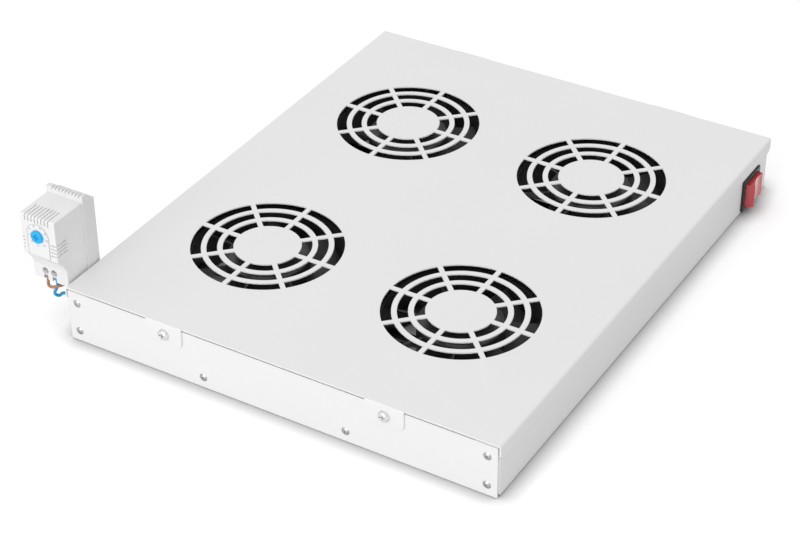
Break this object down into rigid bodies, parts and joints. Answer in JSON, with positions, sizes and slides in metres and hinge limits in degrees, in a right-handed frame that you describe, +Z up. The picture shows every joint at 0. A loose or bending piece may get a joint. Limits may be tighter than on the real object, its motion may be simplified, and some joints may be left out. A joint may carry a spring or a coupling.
{
  "type": "rack fan tray",
  "caption": "Flat sheet-steel rack tray with axial fans that blow up through ring-slot grilles, a rocker switch, a mains inlet and a thermostat beside its front corner.",
  "frame": {"origin": "centre of the tray's bottom face, without the thermostat beside it", "axes": "+Z up out of the grilles, -Y towards the front panel, +X towards the wall with the switch"},
  "size_m": [0.4012, 0.4564, 0.1052],
  "materials": {
    "grey_paint": "smooth light grey paint, satin",
    "bright_steel": "bright zinc plate",
    "black_frame": "black paint on a die-cast frame",
    "black_blades": "black glass-filled plastic",
    "motor_steel": "stacked laminations",
    "black_plastic": "black plastic, half gloss",
    "red_plastic": "red plastic, glossy",
    "tinned_brass": "tinned brass",
    "white_nylon": "natural nylon",
    "light_plastic": "light grey plastic, fine texture",
    "blue_plastic": "bright blue plastic",
    "black_rubber": "black rubber",
    "brown_sleeve": "brown wire insulation",
    "blue_sleeve": "blue wire insulation"
  },
  "bodies": {
    "tray": {"base_pan": "grey_paint", "blue_lead": "blue_sleeve", "bracket_rivets": "bright_steel", "brown_lead": "brown_sleeve", "cover_nuts": "bright_steel", "cover_screws": "bright_steel", "earth_nut": "bright_steel", "earth_stud": "tinned_brass", "fan_frame_front_left": "black_frame", "fan_frame_front_right": "black_frame", "fan_frame_rear_left": "black_frame", "fan_frame_rear_right": "black_frame", "fan_nuts": "bright_steel", "fan_screws": "bright_steel", "fan_stator_front_left": "motor_steel", "fan_stator_front_right": "motor_steel", "fan_stator_rear_left": "motor_steel", "fan_stator_rear_right": "motor_steel", "front_panel": "grey_paint", "inlet_nuts": "bright_steel", "inlet_pins": "tinned_brass", "inlet_screws": "bright_steel", "lead_grommet": "black_rubber", "mains_inlet": "black_plastic", "mounting_rail": "bright_steel", "panel_rivets": "bright_steel", "rail_bracket": "grey_paint", "rail_rivets": "bright_steel", "rear_panel": "grey_paint", "switch_housing": "black_plastic", "switch_terminals": "tinned_brass", "terminal_block": "white_nylon", "terminal_screws": "bright_steel", "thermostat_base": "light_plastic", "thermostat_housing": "light_plastic", "thermostat_rail_foot": "light_plastic", "thermostat_screws": "bright_steel", "top_cover": "grey_paint"},
    "impeller_front_left": {"fan_impeller_front_left": "black_blades"},
    "impeller_front_right": {"fan_impeller_front_right": "black_blades"},
    "impeller_rear_left": {"fan_impeller_rear_left": "black_blades"},
    "impeller_rear_right": {"fan_impeller_rear_right": "black_blades"},
    "rocker": {"switch_rocker": "red_plastic"},
    "dial": {"thermostat_dial": "blue_plastic"}
  },
  "joints": [
    {"name": "front_left_spin", "type": "hinge", "parent": "tray", "child": "impeller_front_left", "pos_m": [-0.0825, -0.1045, 0.02], "axis": [0, 0, 1], "continuous": true},
    {"name": "front_right_spin", "type": "hinge", "parent": "tray", "child": "impeller_front_right", "pos_m": [0.0825, -0.1045, 0.02], "axis": [0, 0, 1], "continuous": true},
    {"name": "rear_left_spin", "type": "hinge", "parent": "tray", "child": "impeller_rear_left", "pos_m": [-0.0825, 0.1005, 0.02], "axis": [0, 0, 1], "continuous": true},
    {"name": "rear_right_spin", "type": "hinge", "parent": "tray", "child": "impeller_rear_right", "pos_m": [0.0825, 0.1005, 0.02], "axis": [0, 0, 1], "continuous": true},
    {"name": "rocker_tilt", "type": "hinge", "parent": "tray", "child": "rocker", "pos_m": [0.1786, 0.189, 0.0168], "axis": [0, 0, 1], "range_deg": [-14, 0]},
    {"name": "dial_turn", "type": "hinge", "parent": "tray", "child": "dial", "pos_m": [-0.198, -0.2285, 0.0842], "axis": [0, 1, 0], "range_deg": [-110, 160]}
  ]
}
